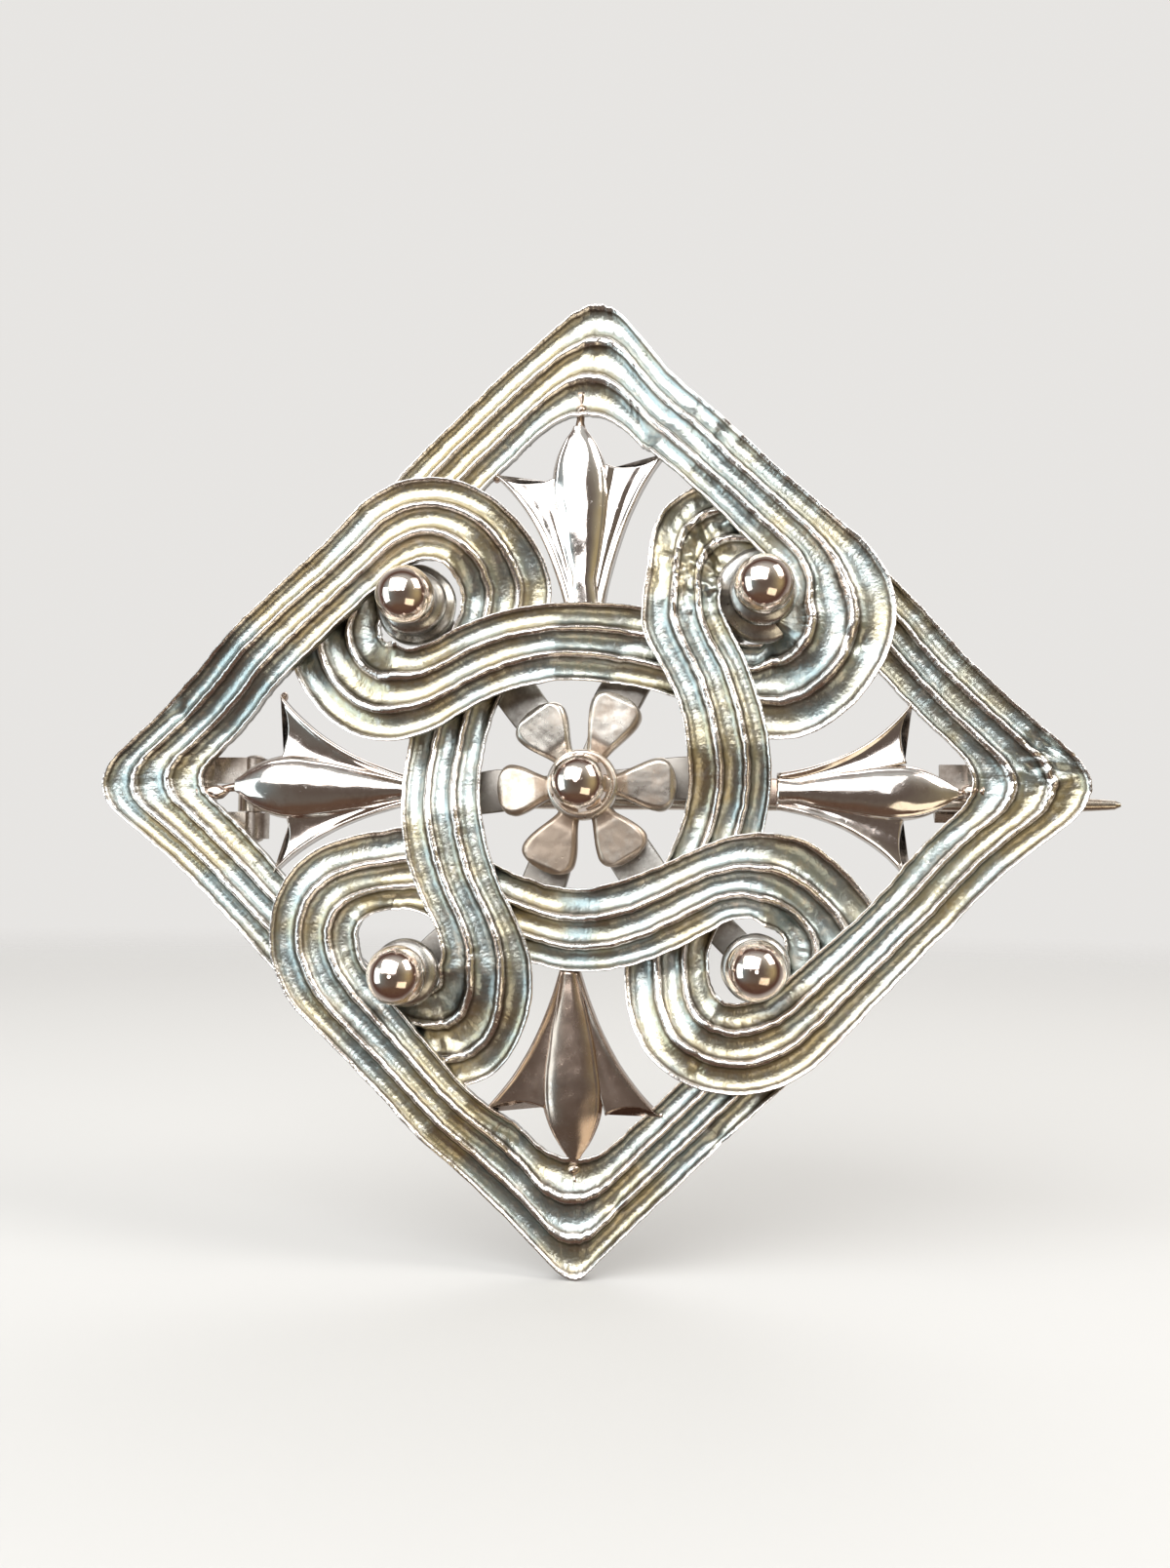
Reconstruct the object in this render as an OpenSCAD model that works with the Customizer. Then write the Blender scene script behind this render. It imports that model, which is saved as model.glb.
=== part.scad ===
/* [Brooch] */
// Distance between two opposite corners of the square frame
corner_span = 50; // [46:0.5:56]
// Clearance between the hinge rivet and the turning knuckle, on the radius
running_gap = 0.05; // [0.02:0.01:0.1]
// Depth by which soldered pieces bite into each other
solder = 0.03; // [0.02:0.01:0.05]

/* [Straps] */
// Width of the reeded strap along the sides of the frame
arm_w = 3.7; // [3.4:0.1:3.9]
// Width of the strap round the eyes and the central ring
ring_w = 4; // [3.7:0.1:4.1]
// Thickness of the strap at its ridges
strap_t = 1.3; // [1:0.05:1.5]
// Depth of the three flutes between the ridges
flute_depth = 0.4; // [0.2:0.05:0.5]
// Radius of the centreline where an arm wraps an eye
wrap_r = 3.95; // [3.8:0.05:4.1]
// Distance from the brooch centre to the crest of the central ring's centreline
ring_crest = 6.95; // [6.85:0.05:7.15]
// Slope of the strap where it leaves the wrap for the central ring
ring_slope = 30; // [28:0.5:32]

/* [Eyes and beads] */
// Diameter of the four corner beads
bead_d = 2.94; // [2.6:0.02:3.2]
// Height of the bead's seat above the back plane
bead_seat = 2.7; // [2.5:0.05:3]
// Diameter of the stepped collar under each bead
collar_d = 3.2; // [3:0.1:3.2]
// Diameter of the bead post
post_d = 1.8; // [1.4:0.1:2.2]
// Width of the foot bar behind each eye
foot_w = 1.6; // [1.2:0.1:2]

/* [Palmettes] */
// Distance from the brooch centre to the palmette's base
palmette_base = 8.75; // [8.7:0.05:8.85]
// Distance from the brooch centre to the palmette's point
palmette_tip = 18.5; // [18.2:0.05:18.8]
// Width of the central lobe
lobe_w = 3; // [2.6:0.1:3.2]
// Thickness of the palmette's plate
leaf_t = 0.95; // [0.7:0.05:1]

/* [Rosette] */
// Radius at the ends of the six petals
petal_r = 4.75; // [4.6:0.05:4.85]
// Width of a petal near its end
petal_w = 3; // [2.6:0.1:3.2]
// Thickness of the rosette
rosette_t = 1; // [0.8:0.05:1.2]
// Diameter of the centre bead
centre_bead_d = 3.1; // [2.8:0.05:3.3]

/* [Pin] */
// Diameter of the pin stem
stem_d = 0.84; // [0.7:0.02:0.9]
// Distance from the hinge axis to the point of the pin
stem_reach = 45.5; // [44:0.5:48]
// Distance of the hinge axis to the left of the brooch centre
hinge_x = 18; // [17.6:0.1:18.4]
// Distance of the pin stem below the brooch centre
pin_drop = 1; // [0.8:0.1:1.2]
// Depth of the pin's axis behind the back plane
pin_depth = 1.75; // [1.7:0.05:2]
// Outer diameter of the hinge knuckles
knuckle_d = 1.7; // [1.6:0.05:1.8]
// Length of each of the three knuckles
knuckle_len = 1.38; // [1.2:0.02:1.5]
// Diameter of the hinge rivet
rivet_d = 0.8; // [0.7:0.05:0.9]
// Distance of the catch to the right of the brooch centre
catch_x = 19; // [18.6:0.1:19.4]

/* [Hidden] */

// The rounding of each corner takes this much off its mitre
corner_trim = 0.42;
apex = corner_span / 2 - arm_w / sqrt(2) + corner_trim;
wrap_x = 0.382 * corner_span / 2;
wrap_y = 0.32 * corner_span / 2;
// Angle between an arm and the loop's axis, for an arm that is tangent to its wrap
arm_run = norm([wrap_x, apex - wrap_y]);
arm_lean = atan2(wrap_x, apex - wrap_y) + asin(wrap_r / arm_run);
arm_len = sqrt(arm_run * arm_run - wrap_r * wrap_r);
wrap_from = 180 - arm_lean;
wrap_to = 270 + ring_slope;
wrap_len = wrap_r * (wrap_to - wrap_from) * PI / 180;
// The short straight between the wrap and the ring meets both without a kink
line_start = [-wrap_x + wrap_r * sin(ring_slope), wrap_y - wrap_r * cos(ring_slope)];
ring_r = (tan(ring_slope) * -line_start.x - (ring_crest - line_start.y)) / (1 / cos(ring_slope) - 1);
line_end = [-ring_r * sin(ring_slope), ring_crest - ring_r * (1 - cos(ring_slope))];
line_len = norm(line_end - line_start);
half_loop = arm_len + wrap_len + line_len + ring_r * ring_slope * PI / 180;
loop_len = 2 * half_loop;

// Levels of the over and under weave, by distance along the loop from its corner
rise = strap_t - solder;
climbs = [[22.4, 27, 0, 1], [34.8, 38.6, 1, 0], [46.4, 51, 0, 1], [64.2, 69.2, 1, 0]];
corner_cut = 4.3;
ring_step = 1.3;
corner_rings = 8;
corner_reach_out = 1.1;
corner_reach_in = 2.2;

edge_drop = 0.12;
edge_draft = 0.15;
widen_from = 12;
widen_over = 6;

eye_r = (wrap_x + wrap_y) / sqrt(2);
eye_open = 2 * wrap_r - ring_w;
foot_grip = 1.2;
// Each bead was set by hand: how far it stands outward of its eye's middle, and to its left
shift_upper_right = [0.4, 0.2];
shift_upper_left = [-0.1, -0.3];
shift_lower_left = [0.3, 0.9];
shift_lower_right = [0.4, -0.2];
// The hand-set turns of the six petals
petal_turns = [0, 59, 120, 190, 250, 304];
leaf_z = strap_t - leaf_t;
rosette_z = 0.7;
plate_t = 0.5;
plate_w = 2.2;
plate_h = 6.3;
plate_inset = 19.6;
foot_lap = 1;
knuckle_pitch = knuckle_len + 0.08;
hook_in = stem_d / 2 + 0.2;
hook_t = 0.48;
hook_w = 1.4;
stem_root = 1.9;
stem_neck = catch_x - 1.6 + hinge_x;
fine = 48;

silver = [0.62, 0.63, 0.65];
dark_silver = [0.42, 0.44, 0.48];
warm_silver = [0.66, 0.58, 0.52];

function mix(a, b, k) = a + (b - a) * k;
function ease(k) = k * k * (3 - 2 * k);
function curve(a, b, c, k) = mix(mix(a, b, k), mix(b, c, k), k);

// Height of the strap's back at distance s along the loop
function level(s) = rise * max([for (c = climbs) s >= c[0] && s <= c[1] ? climb_at(c, s) : flat_at(s)]);
function climb_at(c, s) = mix(c[2], c[3], ease((s - c[0]) / (c[1] - c[0])));
function flat_at(s) = is_raised(s, 0) || is_raised(s, 2) ? 1 : 0;
function is_raised(s, i) = s > climbs[i][1] && s < climbs[i + 1][0];

// The strap's section at half width h: four raised lines, three flutes between them, and a flat back
function section(h) = [
    [h, strap_t - edge_drop], [h * 2 / 3, strap_t - flute_depth], [h / 3, strap_t],
    [0, strap_t - flute_depth], [-h / 3, strap_t], [-h * 2 / 3, strap_t - flute_depth],
    [-h, strap_t - edge_drop], [-h + edge_draft, 0], [h - edge_draft, 0]
];
function widen_at(s) = min(1, max(0, (min(s, loop_len - s) - widen_from) / widen_over));
function half_width(s) = mix(arm_w, ring_w, ease(widen_at(s))) / 2;

// Place and outward normal of the centreline on the left half of the loop
function left_at(s) =
    s < arm_len ? arm_at(s)
    : s < arm_len + wrap_len ? wrap_at(wrap_from + (s - arm_len) / wrap_r * 180 / PI)
    : s < arm_len + wrap_len + line_len ? line_at((s - arm_len - wrap_len) / line_len)
    : ring_at((half_loop - s) / ring_r * 180 / PI);
function arm_at(s) = [[-s * sin(arm_lean), apex - s * cos(arm_lean)], [-cos(arm_lean), sin(arm_lean)]];
function line_at(k) = [mix(line_start, line_end, k), [sin(ring_slope), -cos(ring_slope)]];
function wrap_at(a) = [[-wrap_x + wrap_r * cos(a), wrap_y + wrap_r * sin(a)], [cos(a), sin(a)]];
function ring_at(a) = [[-ring_r * sin(a), ring_crest - ring_r * (1 - cos(a))], [sin(a), -cos(a)]];
function flip(f) = [[-f[0].x, f[0].y], [-f[1].x, f[1].y]];
function frame_at(s) = s <= half_loop ? left_at(s) : flip(left_at(loop_len - s));

function strap_ring(s) = let (f = frame_at(s), z = level(s))
    [for (p = section(half_width(s))) [f[0].x + p.x * f[1].x, f[0].y + p.x * f[1].y, z + p.y]];

// Rings round the loop's corner, where every line of the section turns on its own curve
function corner_ring(k) = [for (p = section(arm_w / 2))
    let (m = [0, apex + p.x / sin(arm_lean)],
         d = mix(corner_reach_in, corner_reach_out, p.x / arm_w + 0.5),
         q = curve(m + d * [sin(arm_lean), -cos(arm_lean)], m, m - d * [sin(arm_lean), cos(arm_lean)], k))
    [q.x, q.y, p.y]];

// Everything is drawn face up, then stood up as it is worn, with its face towards -Y
module worn() {
    rotate([90, 0, 0]) children();
}

module strap_loop(turn) {
    steps = ceil((loop_len - 2 * corner_cut) / ring_step);
    rings = concat(
        [for (i = [0 : steps]) strap_ring(corner_cut + i * (loop_len - 2 * corner_cut) / steps)],
        [for (i = [0 : corner_rings]) corner_ring(i / corner_rings)]
    );
    m = len(rings[0]);
    n = len(rings);
    faces = [for (i = [0 : n - 1], j = [0 : m - 1])
        let (j_next = (j + 1) % m, row = i * m, row_next = (i + 1) % n * m)
        each [[row + j, row_next + j, row + j_next], [row + j_next, row_next + j, row_next + j_next]]];
    color(dark_silver) worn() rotate([0, 0, turn])
        polyhedron(points = [for (r = rings) each r], faces = faces, convexity = 10);
}

module strap_loop_top() { strap_loop(0); }
module strap_loop_left() { strap_loop(90); }
module strap_loop_bottom() { strap_loop(180); }
module strap_loop_right() { strap_loop(270); }

// Half of the palmette's outline: concave outer edge, leaf tip, then back to the notch
leaf_tip = [4.6, palmette_base + 6.95];
leaf_edge = concat(
    [for (k = [0 : 0.125 : 1]) curve([0.85, palmette_base], [1.9, palmette_base + 4.3], leaf_tip, k)],
    [for (k = [0.25 : 0.25 : 1]) curve(leaf_tip, [2.9, palmette_base + 6.3], [1.2, palmette_base + 6.8], k)]
);
leaf_mirror = [for (i = [len(leaf_edge) - 1 : -1 : 0]) [-leaf_edge[i].x, leaf_edge[i].y]];
// Half width of the lobe at share k of its length
lobe_len = palmette_tip - palmette_base;
function lobe_half(k) = mix(0.35, 0, k) + (lobe_w / 2 - 0.12) * pow(sin(180 * pow(k, 1.35)), 0.8);
lobe_profile = [for (k = [0.06 : 0.08 : 0.94]) [lobe_half(k), k * lobe_len]];

module palmette(turn) {
    lobe_side = concat([[0, 0], [0.35, 0]], lobe_profile, [[0, lobe_len]]);
    color(silver) worn() rotate([0, 0, turn]) {
        translate([0, 0, leaf_z]) linear_extrude(leaf_t) polygon(concat(leaf_edge, leaf_mirror));
        intersection() {
            translate([0, palmette_base, leaf_z + 0.35]) rotate([-90, 0, 0])
                rotate_extrude($fn = fine) polygon(lobe_side);
            translate([-lobe_w, palmette_base, leaf_z]) cube([2 * lobe_w, 12, 4]);
        }
        // Solder stem that joins the point to the inner corner of the frame
        translate([-0.25, palmette_tip - 0.6, leaf_z]) cube([0.5, 1.6, leaf_t - 0.25]);
    }
}

module palmette_top() { palmette(0); }
module palmette_left() { palmette(90); }
module palmette_bottom() { palmette(180); }
module palmette_right() { palmette(270); }

// A post stands in each eye, on a foot bar soldered across the backs of the straps
module bead_post(turn, shift) {
    color(dark_silver) worn() rotate([0, 0, turn]) {
        translate([eye_r - eye_open / 2 - foot_grip, shift.y - foot_w / 2, solder - plate_t])
            cube([eye_open + 2 * foot_grip, foot_w, plate_t]);
        translate([eye_r + shift.x, shift.y, 0]) rotate_extrude($fn = fine) polygon([
            [0, -0.2], [post_d / 2, -0.2], [post_d / 2, bead_seat - 0.9], [collar_d / 2, bead_seat - 0.45],
            [collar_d / 2, bead_seat - 0.1], [collar_d / 2 - 0.3, bead_seat], [0, bead_seat]
        ]);
    }
}

module bead_post_upper_right() { bead_post(45, shift_upper_right); }
module bead_post_upper_left() { bead_post(135, shift_upper_left); }
module bead_post_lower_left() { bead_post(225, shift_lower_left); }
module bead_post_lower_right() { bead_post(315, shift_lower_right); }

module bead(turn, shift) {
    color(warm_silver) worn() rotate([0, 0, turn])
        translate([eye_r + shift.x, shift.y, bead_seat + bead_d / 2 - solder]) sphere(d = bead_d, $fn = fine);
}

module bead_upper_right() { bead(45, shift_upper_right); }
module bead_upper_left() { bead(135, shift_upper_left); }
module bead_lower_left() { bead(225, shift_lower_left); }
module bead_lower_right() { bead(315, shift_lower_right); }

// Flat spider behind the ring that carries the rosette on a short hub: one tab, along +X
tab = [[0.5, -0.55], [2, -0.55], [3.8, -1.1], [6.8, -1.1], [6.8, 1.1], [3.8, 1.1], [2, 0.55], [0.5, 0.55]];
module rosette_bridge() {
    color(dark_silver) worn() {
        translate([0, 0, solder - plate_t]) linear_extrude(plate_t) {
            circle(r = 1.6, $fn = fine);
            for (a = petal_turns) rotate([0, 0, a]) polygon(tab);
        }
        translate([0, 0, solder - plate_t]) cylinder(r = 1.3, h = rosette_z + plate_t, $fn = fine);
    }
}

// Outline of one petal along +X, drawn smaller by inset
petal_swell = [
    [1, 0.45], [2.1, 0.53], [2.9, 0.95], [3.7, petal_w / 2], [4.3, petal_w / 2 - 0.12], [petal_r, 0.75]
];
module petal_outline(inset) {
    side = [for (p = petal_swell) [p.x - (p.x > 4.5 ? inset : 0), max(p.y - inset, 0.08)]];
    polygon(concat(side, [for (i = [len(side) - 1 : -1 : 0]) [side[i].x, -side[i].y]]));
}

module rosette() {
    color(silver) worn() translate([0, 0, rosette_z]) difference() {
        union() {
            cylinder(r = 1.75, h = rosette_t, $fn = fine);
            for (a = petal_turns) rotate([0, 0, a]) linear_extrude(rosette_t) petal_outline(0);
        }
        for (a = petal_turns) rotate([0, 0, a]) translate([0, 0, rosette_t - 0.25]) intersection() {
            linear_extrude(1) petal_outline(0.35);
            translate([2, -3, -1]) cube([6, 6, 3]);
        }
    }
}

module rosette_bead() {
    color(warm_silver) worn() translate([0, 0, rosette_z + rosette_t + centre_bead_d / 2 - solder])
        sphere(d = centre_bead_d, $fn = fine);
}

// Plates soldered across the backs of the left and right corners
module corner_plate(low_x) {
    color(dark_silver) worn() translate([low_x, -plate_h / 2, solder - plate_t])
        cube([plate_w, plate_h, plate_t]);
}

module hinge_plate() { corner_plate(-plate_inset - plate_w); }
module catch_plate() { corner_plate(plate_inset); }

// One fixed knuckle of the hinge, on a foot that lies on the plate
module hinge_knuckle(shift) {
    foot_len = plate_inset - hinge_x + foot_lap;
    foot_t = 0.95;
    color(silver) worn() translate([-hinge_x, -pin_drop + shift - knuckle_len / 2, -pin_depth])
        difference() {
            union() {
                rotate([-90, 0, 0]) cylinder(d = knuckle_d, h = knuckle_len, $fn = fine);
                translate([-foot_len, 0, pin_depth - plate_t + 2 * solder - foot_t])
                    cube([foot_len, knuckle_len, foot_t]);
            }
            translate([0, -1, 0]) rotate([-90, 0, 0]) cylinder(d = rivet_d, h = knuckle_len + 2, $fn = fine);
        }
}

module hinge_knuckle_upper() { hinge_knuckle(knuckle_pitch); }
module hinge_knuckle_lower() { hinge_knuckle(-knuckle_pitch); }

module hinge_rivet() {
    reach = knuckle_pitch + knuckle_len / 2;
    color(silver) worn() translate([-hinge_x, -pin_drop, -pin_depth]) rotate([-90, 0, 0]) {
        translate([0, 0, -reach]) cylinder(d = rivet_d, h = 2 * reach, $fn = fine);
        for (side = [0, 180]) rotate([side, 0, 0]) translate([0, 0, reach])
            rotate_extrude($fn = fine)
                polygon([[0, -0.05], [0, 0.24], [0.3, 0.2], [0.5, 0.1], [0.56, 0], [0.3, 0]]);
    }
}

// A strip folded down from its foot and round the stem, open at its lower side
module catch_hook() {
    foot_len = plate_inset - catch_x + hook_w / 2 + foot_lap;
    foot_t = 0.42;
    back = pin_depth - plate_t + 2 * solder;
    color(silver) worn() translate([catch_x - hook_w / 2, -pin_drop, -pin_depth]) {
        translate([0, hook_in, 0]) cube([hook_w, hook_t, back]);
        translate([0, hook_in, back - foot_t]) cube([foot_len, 1.3, foot_t]);
        rotate([90, 0, 90]) rotate([0, 0, -150]) rotate_extrude(angle = 150, $fn = fine)
            translate([hook_in, 0]) square([hook_t, hook_w]);
    }
}

module pin_knuckle() {
    color(silver) worn() translate([-hinge_x, -pin_drop - knuckle_len / 2, -pin_depth])
        rotate([-90, 0, 0]) difference() {
            cylinder(d = knuckle_d, h = knuckle_len, $fn = fine);
            translate([0, 0, -1]) cylinder(d = rivet_d + 2 * running_gap, h = knuckle_len + 2, $fn = fine);
        }
}

// Straight stem, thickened towards its root, tapering from the catch on to a blunt point
module pin_stem() {
    start = knuckle_d / 2 - 0.25;
    free_r = stem_d / 2;
    color(silver) worn() translate([-hinge_x, -pin_drop, -pin_depth]) rotate([0, 90, 0])
        rotate_extrude($fn = fine) polygon([
            [0, start], [free_r + 0.06, start], [free_r, stem_root], [free_r, stem_neck],
            [free_r - 0.05, stem_reach - 2.4], [free_r - 0.18, stem_reach - 0.3], [0.1, stem_reach],
            [0, stem_reach]
        ]);
}

strap_loop_top();
strap_loop_left();
strap_loop_bottom();
strap_loop_right();
palmette_top();
palmette_left();
palmette_bottom();
palmette_right();
bead_post_upper_left();
bead_post_lower_left();
bead_post_lower_right();
bead_post_upper_right();
bead_upper_left();
bead_lower_left();
bead_lower_right();
bead_upper_right();
rosette_bridge();
rosette();
rosette_bead();
hinge_plate();
hinge_knuckle_upper();
hinge_knuckle_lower();
hinge_rivet();
catch_plate();
catch_hook();
pin_knuckle();
pin_stem();
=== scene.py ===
import math
from math import cos, pi, radians, sin, sqrt, tan

import bmesh
import bpy
import numpy as np
from mathutils import Matrix, Vector, noise

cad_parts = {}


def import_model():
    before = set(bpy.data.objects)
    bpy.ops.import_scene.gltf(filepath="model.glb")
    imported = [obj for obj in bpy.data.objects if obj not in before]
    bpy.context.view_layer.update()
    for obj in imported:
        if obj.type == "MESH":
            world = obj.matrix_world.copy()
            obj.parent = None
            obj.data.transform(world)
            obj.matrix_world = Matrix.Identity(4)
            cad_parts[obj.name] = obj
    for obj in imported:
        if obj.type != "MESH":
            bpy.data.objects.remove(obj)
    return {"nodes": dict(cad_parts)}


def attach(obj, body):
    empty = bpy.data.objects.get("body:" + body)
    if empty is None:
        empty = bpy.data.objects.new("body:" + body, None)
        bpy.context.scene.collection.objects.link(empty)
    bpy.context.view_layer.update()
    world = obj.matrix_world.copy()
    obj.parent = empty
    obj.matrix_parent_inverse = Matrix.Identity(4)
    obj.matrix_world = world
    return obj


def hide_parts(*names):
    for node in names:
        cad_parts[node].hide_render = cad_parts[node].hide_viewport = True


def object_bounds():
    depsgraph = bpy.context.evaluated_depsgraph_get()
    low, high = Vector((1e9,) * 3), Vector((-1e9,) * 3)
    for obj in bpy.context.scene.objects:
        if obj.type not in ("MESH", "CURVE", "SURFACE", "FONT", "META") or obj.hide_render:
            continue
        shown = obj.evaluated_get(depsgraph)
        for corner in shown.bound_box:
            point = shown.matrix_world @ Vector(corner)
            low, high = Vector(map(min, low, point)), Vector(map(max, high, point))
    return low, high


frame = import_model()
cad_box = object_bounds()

# ---------------------------------------------------------------------------------------------
# Sizes in millimetres, in the plane of the brooch: x to the right, y up as worn, z out of its face
# ---------------------------------------------------------------------------------------------
MM = 0.001
SPAN = (cad_box[1].z - cad_box[0].z) / MM

# The strap: its width along the frame and round the eyes and ring, its thickness, how deep its flutes are
# and how far its outer ridges lie below the middle ones
ARM_W, RING_W = 3.7, 4.0
STRAP_T, FLUTE_DEPTH, EDGE_DROP = 1.3, 0.4, 0.12
# Its route: the bend round an eye, the top of the central ring, and its slope where it leaves the eye
WRAP_R, RING_CREST, RING_SLOPE = 3.95, 6.95, radians(30)
# What the rounding takes off each corner's mitre, and how far before the corner its own shape starts
CORNER_TRIM, CORNER_CUT = 0.42, 6.6
# How far soldered pieces bite into each other
SOLDER = 0.03
# Where the strap widens, and where it climbs: from and to along the loop, low and high
WIDEN_FROM, WIDEN_OVER = 12.0, 6.0
CLIMBS = ((22.4, 27, 0, 1), (34.8, 38.6, 1, 0), (46.4, 51, 0, 1), (64.2, 69.2, 1, 0))

# The route worked out from those: the corner's middle, the straight arm, the bend, and the line to the ring
APEX = SPAN / 2 - ARM_W / sqrt(2) + CORNER_TRIM
WRAP_X, WRAP_Y = 0.382 * SPAN / 2, 0.32 * SPAN / 2
ARM_RUN = math.hypot(WRAP_X, APEX - WRAP_Y)
ARM_LEAN = math.atan2(WRAP_X, APEX - WRAP_Y) + math.asin(WRAP_R / ARM_RUN)
ARM_LEN = sqrt(ARM_RUN ** 2 - WRAP_R ** 2)
WRAP_FROM, WRAP_TO = pi - ARM_LEAN, 1.5 * pi + RING_SLOPE
WRAP_LEN = WRAP_R * (WRAP_TO - WRAP_FROM)
LINE_START = np.array([-WRAP_X + WRAP_R * sin(RING_SLOPE), WRAP_Y - WRAP_R * cos(RING_SLOPE)])
RING_R = (tan(RING_SLOPE) * -LINE_START[0] - (RING_CREST - LINE_START[1])) / (1 / cos(RING_SLOPE) - 1)
LINE_END = np.array([-RING_R * sin(RING_SLOPE), RING_CREST - RING_R * (1 - cos(RING_SLOPE))])
LINE_LEN = float(np.linalg.norm(LINE_END - LINE_START))
HALF_LOOP = ARM_LEN + WRAP_LEN + LINE_LEN + RING_R * RING_SLOPE
LOOP_LEN = 2 * HALF_LOOP
EYE_R = (WRAP_X + WRAP_Y) / sqrt(2)
EYE_OPEN = 2 * WRAP_R - RING_W


# ---------------------------------------------------------------------------------------------
# Small tools
# ---------------------------------------------------------------------------------------------
def mix(a, b, k):
    return a + (b - a) * k


def ease(k):
    k = np.clip(k, 0, 1)
    return k * k * (3 - 2 * k)


def turned(points, degrees):
    """Points turned about the brooch's centre, in its own plane."""
    a = radians(degrees)
    out = np.array(points, float)
    out[..., 0] = points[..., 0] * cos(a) - points[..., 1] * sin(a)
    out[..., 1] = points[..., 0] * sin(a) + points[..., 1] * cos(a)
    return out


def wobble(points, size, seed, octaves=2):
    """Smooth noise from -1 to 1 at each point. size is the width of its bumps in millimetres."""
    shift = Vector((seed * 17.3, seed * 5.1, seed * 9.7))
    return np.array([
        noise.fractal(Vector(p) / size + shift, 1.0, 2.0, octaves) for p in points.reshape(-1, 3)
    ]).reshape(points.shape[:-1])


def grid_faces(rows, cols, close_rows=False, close_cols=False):
    """Four-sided faces between rows of points, which may close on themselves either way."""
    r = np.arange(rows if close_rows else rows - 1)[:, None]
    c = np.arange(cols if close_cols else cols - 1)[None, :]
    r2, c2 = (r + 1) % rows, (c + 1) % cols
    quads = np.stack([r * cols + c, r * cols + c2, r2 * cols + c2, r2 * cols + c], axis=-1)
    return quads.reshape(-1, 4).tolist()


class Solid:
    """Closed surfaces gathered into one mesh, each point with a wear from 0 (hidden) to 1 (rubbed)."""

    def __init__(self):
        self.points, self.faces, self.worn = [], [], []

    def add(self, points, faces, worn=0.5):
        points = np.asarray(points, float).reshape(-1, 3)
        start = sum(len(p) for p in self.points)
        self.points.append(points)
        self.faces += [[i + start for i in face] for face in faces]
        self.worn.append(np.broadcast_to(np.asarray(worn, float).ravel(), len(points)))
        return self

    def loft(self, rings, worn=0.5):
        """A tube through equal rings of points, closed by a flat cap at each end."""
        rings = np.asarray(rings, float)
        rows, cols = rings.shape[:2]
        faces = grid_faces(rows, cols, close_cols=True)
        faces += [list(range(cols)), list(range((rows - 1) * cols, rows * cols))]
        return self.add(rings, faces, worn)

    def lathe(self, profile, place=(0, 0, 0), steps=64, lumps=0.0, seed=1, worn=0.5):
        """A profile of (radius, height) pairs turned about the z axis at place."""
        angle = 2 * pi * np.arange(steps) / steps
        rings = np.array([[(r * cos(a), r * sin(a), z) for a in angle] for r, z in profile])
        rings[..., :2] *= 1 + lumps * wobble(rings, 1.3, seed)[..., None]
        return self.loft(rings + np.array(place), worn)

    def object(self, name, turn=0, made=False):
        points = turned(np.concatenate(self.points), turn)
        points = as_made(points) if made else points
        return build(name, points, self.faces, {"worn": np.concatenate(self.worn)})


def build(name, points, faces, attributes):
    """A mesh object from points in millimetres in the brooch's plane, stood up as it is worn."""
    placed = np.stack([points[:, 0], -points[:, 2], points[:, 1]], axis=-1) * MM
    mesh = bpy.data.meshes.new(name)
    mesh.from_pydata(placed.tolist(), [], faces)
    tidy = bmesh.new()
    tidy.from_mesh(mesh)
    bmesh.ops.recalc_face_normals(tidy, faces=tidy.faces)
    tidy.to_mesh(mesh)
    tidy.free()
    mesh.polygons.foreach_set("use_smooth", [True] * len(mesh.polygons))
    for key, values in attributes.items():
        layer = mesh.attributes.new(key, "FLOAT", "POINT")
        layer.data.foreach_set("value", np.asarray(values, np.float32).ravel())
    mesh.update()
    obj = bpy.data.objects.new(name, mesh)
    bpy.context.scene.collection.objects.link(obj)
    return obj


# Where the hand departed from the even pattern: place, reach and shift, in millimetres
DEPARTURES = (
    (-12.9, 12.9, 4.0, 0.3, -0.3), (-10.0, 4.0, 3.0, 0.0, -0.3), (-2.5, 9.5, 3.0, 0.3, 0.0),
    (2.3, 10.5, 3.2, 1.3, 0.0), (5.5, 6.0, 3.5, 0.8, 0.0), (15.5, 9.0, 3.0, 0.35, 0.0),
    (7.4, 0.0, 4.6, 0.9, 0.0), (0.0, -7.4, 4.6, 0.0, -0.85),
    (-10.5, -3.5, 3.2, 0.0, -0.8), (-5.0, -13.5, 3.0, 0.3, -0.8),
    (12.5, -4.5, 3.5, -0.5, -0.9), (9.0, -2.8, 2.6, 0.0, -0.45), (3.5, -10.0, 3.0, 0.6, 0.0),
    (0.6, 23.8, 3.4, 0.75, 0.1), (-24.5, 0.0, 4.5, -0.75, -0.35), (24.5, 0.0, 4.5, 0.8, -0.3),
)


def as_made(points):
    out = np.array(points, float)
    for x, y, reach, dx, dy in DEPARTURES:
        near = np.exp(-((points[..., 0] - x) ** 2 + (points[..., 1] - y) ** 2) / reach ** 2)
        out[..., 0] += dx * near
        out[..., 1] += dy * near
    return out


def round_box(half_w, low, high, edge=0.1, steps=4):
    """Points round a rectangle with rounded corners, as (across, height) pairs."""
    out = []
    for k, (sx, z, sz) in enumerate(((1, high, 1), (-1, high, 1), (-1, low, -1), (1, low, -1))):
        for i in range(steps + 1):
            a = (k + i / steps) * pi / 2
            out.append((sx * (half_w - edge) + edge * cos(a), z - sz * edge + edge * sin(a)))
    return np.array(out)


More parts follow.
